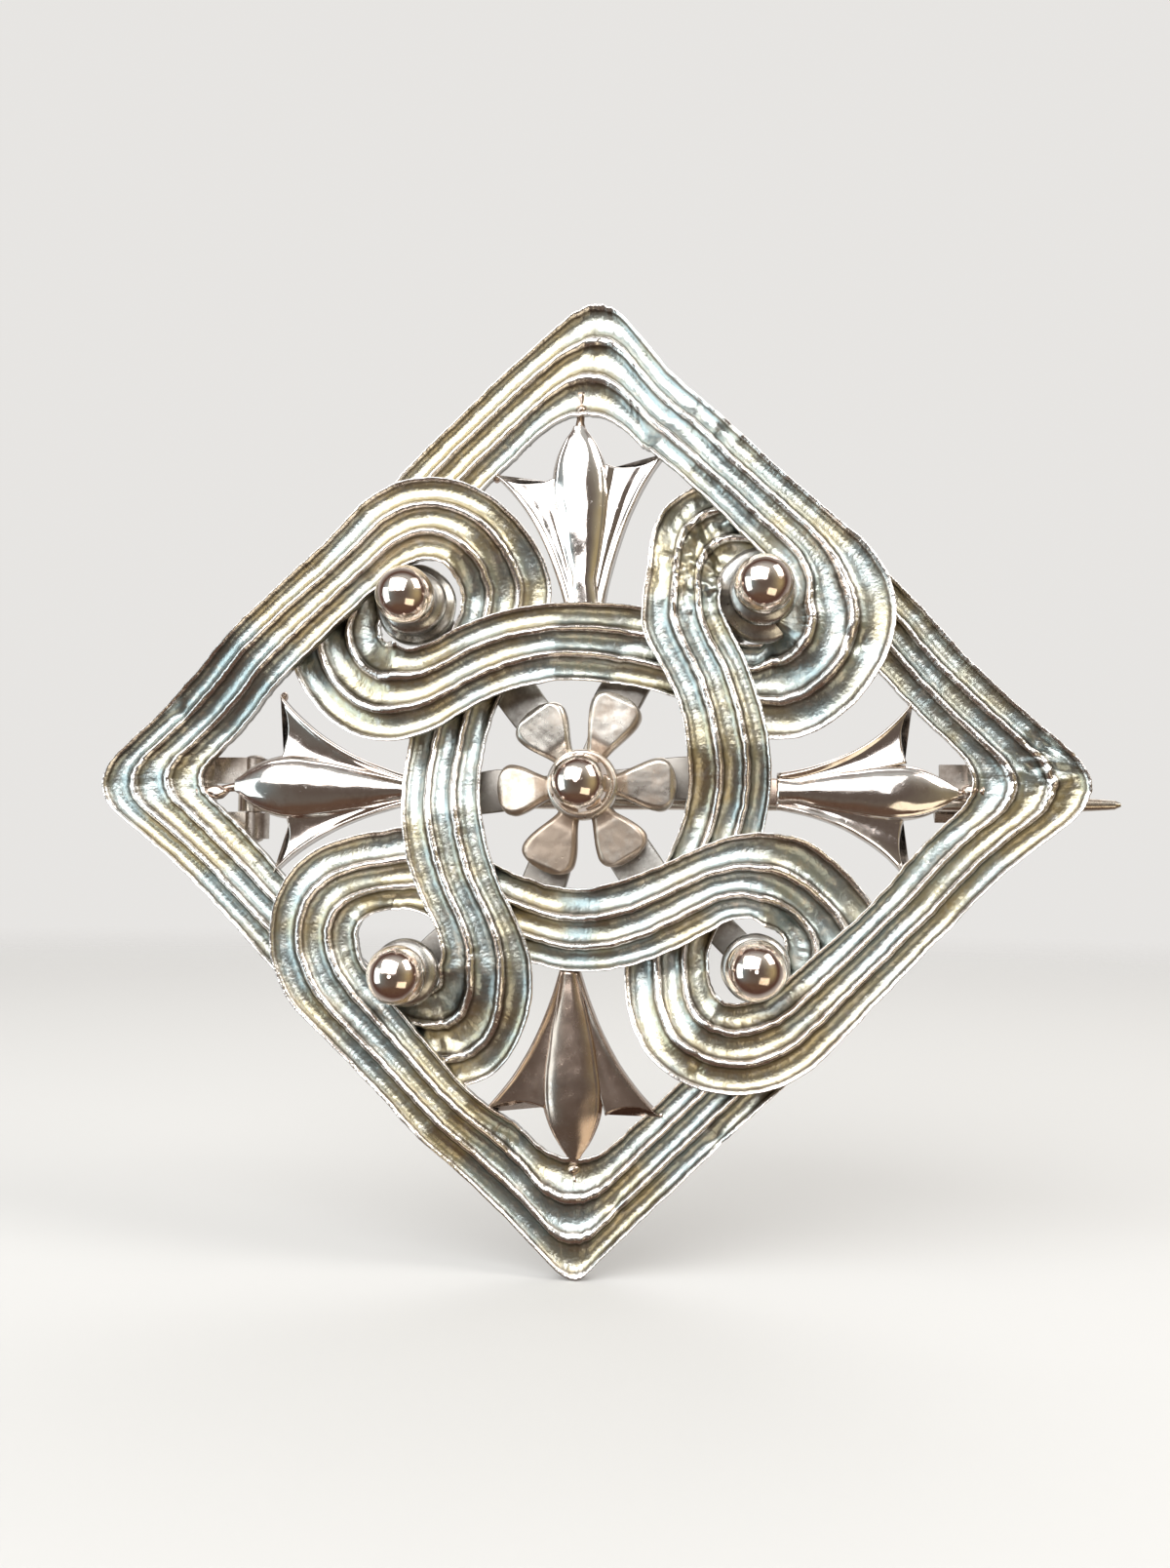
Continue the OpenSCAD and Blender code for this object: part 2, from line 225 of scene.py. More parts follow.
def bar_rings(start, end, half_w, low, high, edge=0.1, pieces=12):
    """Rings of a bar along x with all its edges rounded."""
    middle = (low + high) / 2
    rings = []
    # how far in from the end, and how far the ring draws in there, as shares of the edge's rounding
    ends = [(0.0, 1.0), (0.3, 0.45), (1.0, 0.0)]
    stops = [(start + edge * s, i) for s, i in ends]
    stops += [(mix(start + edge, end - edge, k / pieces), 0.0) for k in range(1, pieces)]
    stops += [(end - edge * s, i) for s, i in reversed(ends)]
    for x, inset in stops:
        loop = round_box(half_w, low, high, edge)
        loop = loop - np.sign(loop - [0, middle]) * inset * edge
        rings.append([(x, a, z) for a, z in loop])
    return np.array(rings)


def lumpy(points, amount, size, seed):
    """Points pushed about a little by smooth noise, like hand-filed or soldered metal."""
    points = np.asarray(points, float)
    push = np.stack([wobble(points, size, seed + k) for k in range(3)], axis=-1)
    return points + amount * push


def ball_profile(radius, centre, cut, steps=40):
    """Profile of a ball from pole to pole. cut takes a slice off its underside."""
    low = math.acos(1 - cut / radius)
    arc = [(max(radius * sin(a), 0.0), centre - radius * cos(a)) for a in np.linspace(low, pi, steps)]
    return [(0.0, centre - radius + cut)] + arc


def solder_blob(solid, place, size, seed):
    """A small frozen drop of solder."""
    centre = np.array(place)
    around = 2 * pi * np.arange(18) / 18
    tiny = 0.12
    rings = [
        [centre + size * np.array([sin(a) * cos(b), sin(a) * sin(b), -cos(a)]) for b in around]
        for a in np.linspace(tiny, pi - tiny, 12)
    ]
    return solid.loft(lumpy(rings, 0.16 * max(size), 0.5, seed), 0.35)


# ---------------------------------------------------------------------------------------------
# Reeded strap loops
# ---------------------------------------------------------------------------------------------
def left_half(s):
    """Place and outward normal of the centreline on the left half of a loop, at distance s."""
    if s < ARM_LEN:
        return (-s * sin(ARM_LEAN), APEX - s * cos(ARM_LEAN)), (-cos(ARM_LEAN), sin(ARM_LEAN))
    if s < ARM_LEN + WRAP_LEN:
        a = WRAP_FROM + (s - ARM_LEN) / WRAP_R
        return (-WRAP_X + WRAP_R * cos(a), WRAP_Y + WRAP_R * sin(a)), (cos(a), sin(a))
    if s < ARM_LEN + WRAP_LEN + LINE_LEN:
        k = (s - ARM_LEN - WRAP_LEN) / LINE_LEN
        return mix(LINE_START, LINE_END, k), (sin(RING_SLOPE), -cos(RING_SLOPE))
    a = (HALF_LOOP - s) / RING_R
    return (-RING_R * sin(a), RING_CREST - RING_R * (1 - cos(a))), (sin(a), -cos(a))


def centreline(s):
    """Place and outward normal of the centreline at distance s from the middle of the corner."""
    if s <= HALF_LOOP:
        (x, y), (nx, ny) = left_half(s)
        return x, y, nx, ny
    (x, y), (nx, ny) = left_half(LOOP_LEN - s)
    return -x, y, -nx, ny


def level(s):
    """Height of the strap's back at distance s: it climbs over and dips under its neighbours."""
    rise = STRAP_T - SOLDER
    height = np.zeros_like(s)
    for a, b, low, high in CLIMBS:
        height = np.where((s >= a) & (s <= b), mix(low, high, ease((s - a) / (b - a))), height)
    up = ((s > CLIMBS[0][1]) & (s < CLIMBS[1][0])) | ((s > CLIMBS[2][1]) & (s < CLIMBS[3][0]))
    return rise * np.where(up, 1.0, height)


# Dents, nicks and rough places: x, y, reach along x and y, push towards the face, and lumpiness
SCARS = {
    "strap_top": (
        (14.0, 6.8, 0.7, 0.5, -0.3, 0.25), (5.4, 19.0, 1.4, 1.4, 0.0, 0.16),
        (0.4, 23.2, 1.2, 1.0, -0.05, 0.15), (7.4, 17.6, 0.5, 0.4, -0.18, 0.0),
    ),
    "strap_left": (
        (-21.2, 3.4, 0.5, 0.4, -0.28, 0.12), (-13.0, -11.5, 1.2, 1.6, 0.08, 0.0),
        (-6.4, -14.6, 1.4, 1.0, 0.0, 0.3), (-7.2, -13.0, 0.9, 0.8, -0.05, 0.2),
    ),
    "strap_bottom": (
        (2.2, -21.5, 0.3, 0.35, -0.22, 0.0), (7.3, -18.1, 0.5, 0.4, -0.25, 0.1),
        (-1.0, -20.6, 1.5, 0.8, 0.12, 0.05),
    ),
    "strap_right": (
        (23.2, 1.2, 1.6, 2.4, -0.05, 0.3), (5.6, 10.8, 1.9, 2.4, -0.04, 0.42),
        (6.2, -14.3, 0.25, 0.7, -0.2, 0.0), (7.0, 13.6, 1.6, 1.2, 0.0, 0.25),
    ),
}


def scarred(points, name):
    """The points of one strap with its dents and rough places pressed into its face."""
    out = np.array(points, float)
    coarse, fine = wobble(points, 0.75, 3), wobble(points, 0.3, 4)
    face_only = ease(points[..., 2] / 0.9)
    for x, y, reach_x, reach_y, push, lumps in SCARS[name]:
        away = ((points[..., 0] - x) / reach_x) ** 2 + ((points[..., 1] - y) / reach_y) ** 2
        near = np.exp(-(away ** 1.5)) * face_only
        out[..., 2] += near * (push + lumps * (coarse + 0.5 * fine))
    return out


# The gap between stations, the points across a flute, the flat share of a ridge's top, and the skin's lumps
STEP, FLUTE_STEPS, CREST, SKIN = 0.16, 12, 0.12, 0.016
# Stations along each short straight of a corner, and round its bend
CORNER_STRAIGHT, CORNER_BEND = 22, 36
# How far before and after an eye the strap starts to spread, and over what length
SPREAD_LEAD, SPREAD_OVER = 1.5, 3.5
# The sides from the face to the back: how far out, how far below the outer ridge, and how worn
SIDE = ((0.01, -0.06, 0.9), (0.0, -0.2, 0.5), (-0.05, -0.55, 0.25), (-0.1, -0.9, 0.3), (-0.17, -1.08, 0.5))
BACK_INSET, BACK_STEPS = 0.26, 9


def strap_drift(s, seed):
    """Smooth noise along the loop that closes on itself, because it is read round a circle."""
    circle = 2 * pi * s / LOOP_LEN
    round_trip = np.stack([np.cos(circle), np.sin(circle), 0 * s], axis=-1) * LOOP_LEN / (2 * pi)

    def drift(size, key):
        return wobble(round_trip + [0, 0, 13.7 * key], size, seed)

    return drift


def near_eye(s):
    """1 along the bend round the eye that comes first, easing to 0 on both sides of it."""
    arriving = ease((s - ARM_LEN + SPREAD_LEAD) / SPREAD_OVER)
    leaving = ease((ARM_LEN + WRAP_LEN + SPREAD_LEAD - s) / SPREAD_OVER)
    return arriving * leaving


def strap_lines(s, drift, swell_left, swell_right):
    """The four ridges from outside to inside: their places across the strap and their drops."""
    on_loop = np.minimum(s % LOOP_LEN, LOOP_LEN - s % LOOP_LEN)
    half = mix(ARM_W, RING_W, ease((on_loop - WIDEN_FROM) / WIDEN_OVER)) / 2
    # round each eye the strap was spread a little towards the bead
    inner = -half - swell_left * near_eye(s) - swell_right * near_eye(LOOP_LEN - s)
    lines, crests = [], []
    for i, drop in enumerate((EDGE_DROP + 0.02, 0.03, 0.03, EDGE_DROP + 0.02)):
        stray = 0.075 * drift(5.0, i) + 0.035 * drift(1.1, i + 10) + 0.04 * drift(0.42, i + 50)
        lines.append(mix(half, inner, i / 3) + stray)
        crests.append(-drop + 0.05 * drift(6.0, i + 20) + 0.03 * drift(0.8, i + 30))
    return np.stack(lines, axis=1), np.stack(crests, axis=1)


def strap_face(lines, crests, depths):
    """Three flutes between four ridges, as places across, heights and wear for every station."""
    t = 0.5 - 0.5 * np.cos(pi * np.arange(FLUTE_STEPS + 1) / FLUTE_STEPS)
    away = np.minimum(np.abs(2 * t - 1) / (1 - CREST), 1)
    drop = 1 - away ** 2.7
    across, height, worn = [], [], []
    for j in range(3):
        keep = slice(0, FLUTE_STEPS + (j == 2))
        ridge = mix(crests[:, j, None], crests[:, j + 1, None], t[None, keep])
        across.append(mix(lines[:, j, None], lines[:, j + 1, None], t[None, keep]))
        height.append(STRAP_T + ridge - depths[:, j, None] * drop[None, keep])
        worn.append(np.broadcast_to((away ** 9)[None, keep], height[-1].shape))
    return [np.concatenate(values, axis=1) for values in (across, height, worn)]


def strap_side(line, crest, sign):
    """One side, which leans in a little towards the back."""
    across = np.stack([line + sign * out for out, _, _ in SIDE], axis=1)
    height = np.stack([np.maximum(STRAP_T + crest + down, 0.05) for _, down, _ in SIDE], axis=1)
    worn = np.stack([np.full(len(line), wear) for _, _, wear in SIDE], axis=1)
    return [across, height, worn]


def strap_section(lines, crests, depths):
    """The closed section at every station: face, inner side, flat back and outer side."""
    face = strap_face(lines, crests, depths)
    inner = strap_side(lines[:, 3], crests[:, 3], -1)
    outer = [values[:, ::-1] for values in strap_side(lines[:, 0], crests[:, 0], 1)]
    k = (np.linspace(-1, 1, BACK_STEPS)[None, :] + 1) / 2
    across = mix(lines[:, 3, None] + BACK_INSET, lines[:, 0, None] - BACK_INSET, k)
    back = [across, np.zeros_like(across), np.full_like(across, 0.45)]
    return [np.concatenate(parts, axis=1) for parts in zip(face, inner, back, outer)]


def corner_row(k, a, reach_in, reach_out):
    """One station of the corner: a short straight, a bend of three control points, a short straight."""
    lean_out = np.array([sin(ARM_LEAN), -cos(ARM_LEAN)])
    middle = np.stack([0 * a, APEX + a / sin(ARM_LEAN)], axis=-1)
    reach = mix(reach_in, reach_out, a / ARM_W + 0.5)[:, None]
    right, left = middle + reach * lean_out, middle + reach * lean_out * [-1, 1]
    if k <= CORNER_STRAIGHT:
        return mix(across_loop(LOOP_LEN - CORNER_CUT, a), right, k / CORNER_STRAIGHT)
    if k >= CORNER_STRAIGHT + CORNER_BEND:
        return mix(left, across_loop(CORNER_CUT, a), (k - CORNER_STRAIGHT - CORNER_BEND) / CORNER_STRAIGHT)
    b = (k - CORNER_STRAIGHT) / CORNER_BEND
    return mix(mix(right, middle, b), mix(middle, left, b), b)


def across_loop(s, a):
    """Points across the strap at distance s, each a out from the centreline."""
    x, y, nx, ny = centreline(s)
    return np.stack([x + a * nx, y + a * ny], axis=-1)


def strap_loop(name, turn, seed, reach_in, reach_out, swell_left, swell_right):
    # stations along the loop: the open run, then the corner
    run = np.linspace(CORNER_CUT, LOOP_LEN - CORNER_CUT, int((LOOP_LEN - 2 * CORNER_CUT) / STEP))
    corner = np.linspace(-CORNER_CUT, CORNER_CUT, 2 * CORNER_STRAIGHT + CORNER_BEND + 1)[1:-1]
    s = np.concatenate([run, LOOP_LEN + corner])
    drift = strap_drift(s, seed)
    lines, crests = strap_lines(s, drift, swell_left, swell_right)
    depths = np.stack([FLUTE_DEPTH * (1 + 0.22 * drift(7.0, i + 40)) for i in range(3)], axis=1)
    a, z, worn = strap_section(lines, crests, depths)

    points = np.zeros((*a.shape, 3))
    for i, at in enumerate(run):
        points[i, :, :2] = across_loop(at, a[i])
    for k in range(1, len(corner) + 1):
        i = len(run) + k - 1
        points[i, :, :2] = corner_row(k, a[i], reach_in, reach_out)
    points[:, :, 2] = z + level(s % LOOP_LEN)[:, None]
    points[:, :, 2] += SKIN * wobble(points, 0.55, seed + 60) * ease((z - 0.7) / 0.3)
    points = scarred(as_made(turned(points, turn)), name).reshape(-1, 3)
    faces = grid_faces(*a.shape, close_rows=True, close_cols=True)
    along = np.broadcast_to(s[:, None], a.shape)
    return build(name, points, faces, {"worn": worn, "across": a, "along": along})


# ---------------------------------------------------------------------------------------------
# Palmettes
# ---------------------------------------------------------------------------------------------
# The heights of a leaf's back and face, and how far from the brooch's middle a palmette's foot nominally is
LEAF_LOW, LEAF_TOP = 0.35, 1.3
PALMETTE_FOOT = 8.75
# Per palmette, seen with its point up, in millimetres from its nominal foot: the real foot's place and half
# width, the left and right leaf tips, the notches, the point, the lobe's half width at its widest and at its
# foot and its rise, how far each leaf flares, its flutes, how deep they are, how rubbed the metal is, and the
# place and run of the solder at its point
PALMETTES = {
    "top": dict(
        foot=(0.2, 0.1, 1.0), tips=((-4.58, 7.1), (4.32, 8.1)), notches=((-1.65, 6.9), (1.5, 7.55)),
        point=(-0.2, 9.6), lobe=1.5, foot_lobe=0.85, rise=0.62,
        flare=0.3, flutes=2.0, crease=0.07, worn=0.95, solder=(-0.1, 0.32),
    ),
    "left": dict(
        foot=(-0.65, 0.1, 0.75), tips=((-5.0, 7.1), (4.3, 7.0)), notches=((-2.3, 6.5), (1.0, 6.95)),
        point=(-0.45, 9.3), lobe=1.7, foot_lobe=0.5, rise=0.8,
        flare=0.3, flutes=1.0, crease=0.1, worn=0.75, solder=(-0.8, 0.66),
    ),
    "bottom": dict(
        foot=(0.3, 0.95, 0.5), tips=((-4.42, 8.15), (4.72, 8.2)), notches=((-1.85, 8.15), (1.65, 7.9)),
        point=(-0.05, 10.35), lobe=1.55, foot_lobe=0.38, rise=0.5,
        flare=0.32, flutes=1.0, crease=0.05, worn=0.2, solder=(0.0, 0.32),
    ),
    "right": dict(
        foot=(0.6, 1.3, 0.92), tips=((-4.0, 8.05), (5.2, 7.95)), notches=((-1.1, 7.7), (2.05, 7.6)),
        point=(0.65, 10.2), lobe=1.42, foot_lobe=0.72, rise=0.62,
        flare=0.16, flutes=1.0, crease=0.08, worn=0.8, solder=(0.5, 0.4),
    ),
}
# Half width of the lobe, as a share of its widest, at each share of its length
LOBE_OUTLINE = (
    (0, 0.3), (0.1, 0.42), (0.2, 0.56), (0.3, 0.69), (0.4, 0.81), (0.5, 0.91), (0.58, 0.98), (0.65, 1.0),
    (0.72, 0.97), (0.79, 0.88), (0.86, 0.72), (0.92, 0.52), (0.96, 0.35), (1, 0.12),
)
# A leaf's blade: the width and drop of its rounded outer edge, and the place, height and width of its rim
EDGE_ROUND, EDGE_FALL = 0.16, 0.12
RIM_AT, RIM_UP, RIM_W = 0.18, 0.03, 0.07
# How far the blade's end curves in between its tip and its notch
END_SAG = 1.7
# The raised line along each side of the lobe: its place as a share of the half width, height and width
BEADING_AT, BEADING_UP, BEADING_W = 0.87, 0.07, 0.045
# The wire at the point: its radius at the middle, and how much it widens into the solder at its ends
STEM_R, STEM_FLARE = 0.17, 0.15


def leaf_height(shape, from_inner, from_outer, t, to_end):
    """Height of a blade across its width: a rounded edge, a fine rim inside it, and shallow flutes."""
    from_edge = np.minimum(from_outer, to_end)
    top = LEAF_TOP - EDGE_FALL * (1 - np.clip(from_edge / EDGE_ROUND, 0, 1)) ** 1.6
    hollow = ease((from_outer - 0.12) / 0.45) * ease(from_inner / 0.5)
    wave = 0.5 - 0.5 * np.cos(2 * pi * shape["flutes"] * (t ** 0.8))
    top = top - shape["crease"] * hollow * (0.6 + wave)
    return top + RIM_UP * np.exp(-((from_outer - RIM_AT) / RIM_W) ** 2)


def leaf(solid, shape, side):
    """One of the two outer leaves: a thin blade from the foot to its sharp tip, a little hollow or fluted."""
    sign = -1 if side == 0 else 1
    middle, rise, half_foot = shape["foot"]
    tip, notch = np.array(shape["tips"][side]), np.array(shape["notches"][side])
    outer_foot = np.array([middle + sign * half_foot, rise])
    inner_foot = np.array([middle + sign * 0.12 * half_foot, rise])
    belly = np.array([mix(outer_foot[0], tip[0], shape["flare"]), mix(rise, tip[1], 0.65)])
    t = np.linspace(0, 1, 25)
    rings = []
    for q in np.linspace(0, 1, 50):
        s = 1 - (1 - q) ** 1.5
        outer = mix(mix(outer_foot, belly, s), mix(belly, tip, s), s)
        inner = mix(inner_foot, notch - [sign * 0.25, 0], s)
        row = mix(inner, outer, t[:, None])
        row[:, 1] -= END_SAG * s ** 5 * t * (1 - t)
        width = float(np.linalg.norm(outer - inner))
        to_end = (1 - s) * (shape["point"][1] - rise) * 0.9 + 0.02
        top = leaf_height(shape, t * width, (1 - t) * width, t, to_end)
        edge, low = row[-1], row[0]
        walls = [(*edge, top[-1] - 0.14), (*edge, LEAF_LOW + 0.12), (*mix(edge, low, 0.08), LEAF_LOW)]
        walls += [(*mix(edge, low, 0.9), LEAF_LOW), (*low, LEAF_LOW + 0.1), (*low, top[0] - 0.1)]
        rings.append([(*p, z) for p, z in zip(row, top)] + walls)
    solid.loft(lumpy(rings, 0.022, 1.6, side + 3), shape["worn"])


def lobe(solid, shape, seed):
    """The swollen middle lobe, from the foot to the point, with a fine raised line along each side."""
    middle, rise, _ = shape["foot"]
    foot, point = np.array([middle, rise]), np.array(shape["point"])
    across = np.linspace(-1, 1, 41)
    dome = (1 - np.abs(across) ** 2.2) ** 0.75
    beading = BEADING_UP * np.exp(-((np.abs(across) - BEADING_AT) / BEADING_W) ** 2)
    rings = []
    for q in np.linspace(0, 1, 64):
        s = 1 - (1 - q) ** 1.3
        x, y = mix(foot, point, s)
        swell = float(np.mean([np.interp(s + d, *zip(*LOBE_OUTLINE)) for d in (-0.03, 0, 0.03)]))
        half = max(shape["lobe"] * swell, shape["foot_lobe"] * (1 - 0.8 * s))
        height = shape["rise"] * (0.35 + 0.65 * swell) * (1 - s ** 9) + 0.08
        top = LEAF_TOP - 0.2 + height * dome + beading * (1 - s ** 6)
        base = [(x + half * 0.96, y, LEAF_LOW), (x - half * 0.96, y, LEAF_LOW)]
        rings.append([(x + half * k, y, z) for k, z in zip(across, top)] + base)
    solid.loft(lumpy(rings, 0.03, 1.4, seed), min(shape["worn"] + 0.05, 1))


def foot_tab(solid, shape, seed):
    """The tab under the palmette's foot that laps the back of the ring."""
    middle, rise, half_foot = shape["foot"]
    tab = bar_rings(-0.5, rise + 0.5, half_foot * 0.75, 0.3, 0.8, 0.09)
    tab = np.stack([tab[..., 1] + middle, tab[..., 0], tab[..., 2]], axis=-1)
    solid.loft(lumpy(tab, 0.06, 0.7, seed), 0.25)


def point_stem(solid, shape, seed):
    """The wire and the solder that join the palmette's point to the corner of the frame."""
    x, y = shape["point"]
    solder_x, solder_run = shape["solder"]
    reach = APEX - ARM_W / sqrt(2) - PALMETTE_FOOT - y
    angles = 2 * pi * np.arange(20) / 20
    rings = []
    for k in np.linspace(0, 1, 12):
        r, up = STEM_R + STEM_FLARE * (2 * k - 1) ** 2, k * (reach + 0.3) - 0.25
        rings.append([(mix(x, solder_x, k) + r * cos(a), y + up, 0.62 + r * sin(a)) for a in angles])
    solid.loft(lumpy(rings, 0.06, 0.4, seed), 0.3)
    solder_blob(solid, (solder_x, y + reach * 0.5, 0.8), (0.33, solder_run, 0.36), seed + 1)


def palmette(name, turn, shape, seed):
    solid = Solid()
    leaf(solid, shape, 0)
    leaf(solid, shape, 1)
    lobe(solid, shape, seed)
    foot_tab(solid, shape, seed + 8)
    point_stem(solid, shape, seed + 1)
    for side, (x, y) in enumerate(shape["tips"]):
        sign = 2 * side - 1
        solder_blob(solid, (x - sign * 0.02, y - 0.06, 0.6), (0.22, 0.2, 0.28), seed + 4 + side)
    solid.points = [p + np.array([0, PALMETTE_FOOT, 0]) for p in solid.points]
    return solid.object(name, turn)


# ---------------------------------------------------------------------------------------------
# Rosette, bridge, beads and posts
# ---------------------------------------------------------------------------------------------
# The thickness of the flat bars behind, the heights of the rosette's back and face, and where a petal starts
# and half its width there
BAR_T = 0.5
ROSETTE_LOW, ROSETTE_TOP = 0.7, 1.72
PETAL_FROM, PETAL_NECK = 1.15, 0.5
# The rosette was soldered on a little off centre. Per petal: its turn, its length, its half width on the side
# ahead of the turn and behind it, its tilt in degrees, and how rubbed it is
ROSETTE_PLACE = np.array([0.25, -0.33, 0.0])
PETALS = (
    (0, 4.75, 1.35, 1.3, 4, 0.65), (67, 4.95, 1.25, 1.4, 5, 0.6), (125.5, 4.6, 1.4, 1.45, -6, 0.75),
    (185, 4.35, 1.3, 1.3, 4, 0.4), (247, 4.8, 1.25, 1.5, -4, 0.15), (303, 4.55, 1.4, 1.3, 6, 0.35),
)


def petal(solid, turn, length, ahead, behind, tilt, worn, seed):
    """A flat-faced petal that widens to a blunt end, with a narrow bevel and a dip where it meets the hub."""
    t = np.linspace(-1, 1, 33)
    rings = []
    for q in np.linspace(0, 1, 44):
        r = PETAL_FROM + (length - PETAL_FROM) * (1 - (1 - q) ** 1.7)
        close = (1 - min(1, max(0, (r - length + 0.95) / 0.95)) ** 2.8) ** 0.5 + 0.02
        swell = float(ease((r - 1.5) / (length - 2.2))) ** 0.85
        half = mix(PETAL_NECK, np.where(t > 0, ahead, behind), swell) * close
        from_edge = np.minimum((1 - np.abs(t)) * half, (length - r) * 0.8)
        y = t * half
        top = ROSETTE_TOP - 0.22 * (1 - np.clip(from_edge / 0.24, 0, 1)) ** 1.3
        top = top + y * tan(radians(tilt)) - 0.26 * (1 - ease((r - 1.5) / 1.0))
        row = [(r, a, z) for a, z in zip(y, top)]
        walls = [(r, y[-1], ROSETTE_LOW + 0.1), (r, y[-1] * 0.92, ROSETTE_LOW)]
        walls += [(r, y[0] * 0.92, ROSETTE_LOW), (r, y[0], ROSETTE_LOW + 0.1)]
        rings.append(row + walls)
    rings = turned(lumpy(lumpy(rings, 0.03, 2.2, seed), 0.008, 0.5, seed + 20), turn)
    solid.loft(rings + ROSETTE_PLACE, worn)


# The ring of metal round the rosette's bead, and the pillar that carries the rosette: radius and height
HUB = (
    (1.5, ROSETTE_LOW), (1.78, 0.85), (1.84, 1.2), (1.82, 1.5), (1.72, 1.64), (1.58, 1.66), (1.48, 1.56),
    (1.42, 1.46), (1.2, 1.42), (0.02, 1.42),
)
PILLAR = ((1.4, -0.47), (1.58, -0.4), (1.6, -0.05), (1.5, 0.03), (1.36, 0.06), (1.3, 0.16), (1.28, 0.72))


def rosette():
    solid = Solid()
    for i, shape in enumerate(PETALS):
        petal(solid, *shape, i + 11)
    solid.lathe(HUB, ROSETTE_PLACE, lumps=0.02, seed=5, worn=0.7)
    return solid.object("rosette_petals")


# The tabs that run from the pillar out under the ring: from, to, half width, and their neck as a share of it
TAB_FROM, TAB_TO, TAB_HALF, TAB_NECK = 1.0, 6.7, 1.08, 0.5


def bridge():
    solid = Solid()
    for i, (turn, *_) in enumerate(PETALS):
        rings = bar_rings(TAB_FROM, TAB_TO, TAB_HALF, SOLDER - BAR_T, SOLDER, 0.09)
        rings[..., 1] *= mix(TAB_NECK, 1.0, ease((rings[..., 0] - 2.0) / 2.2))
        solid.loft(turned(lumpy(rings, 0.06, 1.6, i + 31), turn + 2), 0.25 + 0.1 * (i % 3))
    solid.lathe(PILLAR, lumps=0.03, seed=8, worn=0.3)
    return solid.object("rosette_bridge_tabs", made=True)


# The height of a bead's seat, and the radii of a bead and of its post
BEAD_SEAT, BEAD_R, POST_R = 2.7, 1.47, 0.9
# The bar that holds a post behind its eye: half its width, and how far it laps the straps
FOOT_HALF, FOOT_GRIP = 0.8, 1.2
# Per eye: its turn, how far its bead stands outward of the eye's middle and to its left, and the radius of
# the skirt below it
EYES = {
    "upper_right": (45, 0.75, 0.0, 2.45), "upper_left": (135, -0.1, -0.3, 2.1),
    "lower_left": (225, 0.6, 1.0, 1.25), "lower_right": (315, 0.55, -0.25, 1.3),
}


def post_profile(skirt):
    """A post turned on a lathe: a flared foot, the shaft, the skirt, the collar and the bead's seat."""
    foot = ((1.3, -0.1), (1.12, 0.1), (0.96, 0.32), (POST_R, 0.6), (POST_R, 0.9))
    hem = ((skirt * 0.7, 1.05), (skirt * 0.9, 1.2), (skirt, 1.4), (skirt, 1.6), (mix(skirt, 1.6, 0.3), 1.76))
    collar = ((1.62, 1.86), (1.6, 1.95), (1.7, 2.08), (1.7, 2.3), (1.6, 2.46), (1.46, 2.56), (1.38, 2.6))
    seat = ((1.3, 2.66), (1.1, 2.69), (0.02, BEAD_SEAT))
    return foot + hem + collar + seat


def bead_post(name, turn, out, left, skirt, seed):
    solid = Solid()
    reach = EYE_OPEN / 2 + FOOT_GRIP
    rings = bar_rings(EYE_R - reach, EYE_R + reach, FOOT_HALF, SOLDER - BAR_T, SOLDER, 0.1)
    rings[..., 1] += left
    solid.loft(lumpy(rings, 0.05, 1.7, seed), 0.35)
    solid.lathe(post_profile(skirt), (EYE_R + out, left, 0), lumps=0.025, seed=seed, worn=0.6)
    return solid.object(name, turn)


def bead(name, turn, place, radius, seed):
    solid = Solid()
    solid.lathe(ball_profile(radius, radius - SOLDER, 0.02), place, 72, 0.018, seed, 0.9)
    return solid.object(name, turn)


